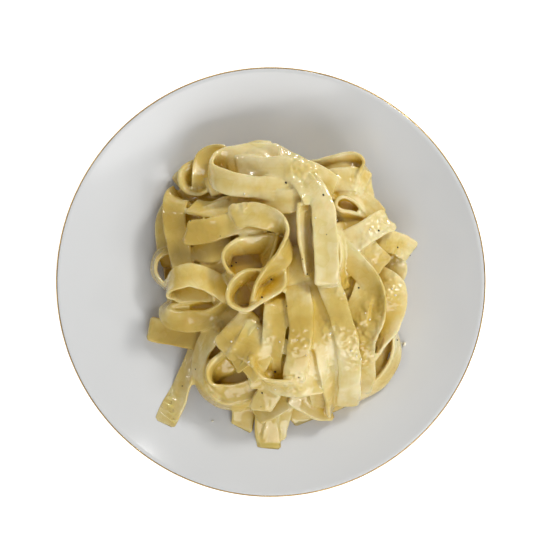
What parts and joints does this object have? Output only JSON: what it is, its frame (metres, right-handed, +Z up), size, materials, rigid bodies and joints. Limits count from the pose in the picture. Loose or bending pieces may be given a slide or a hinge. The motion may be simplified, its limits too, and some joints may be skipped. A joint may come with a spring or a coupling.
{
  "type": "fettuccine alfredo on a plate",
  "caption": "Heap of fettuccine in a cream sauce, with looped and loose noodle ends, on a shallow round porcelain coupe plate with a thin gilt line at its lip.",
  "frame": {"origin": "centre of the foot ring's underside, which is the centre of the bottom of the plate", "axes": "+Z is up; -Y is the diner's side, where the longest loose end points; +X is to the diner's right"},
  "size_m": [0.2, 0.2, 0.0493],
  "materials": {
    "porcelain": "white porcelain with a clear glossy glaze",
    "pasta": "cooked egg noodle, wet with cream and cheese sauce",
    "gilt": "thin polished gold line on the plate's lip",
    "sauce": "glossy cream and cheese sauce",
    "pepper": "dull cracked black pepper"
  },
  "bodies": {
    "root": {"plate": "porcelain", "fettuccine": "pasta"}
  },
  "joints": []
}
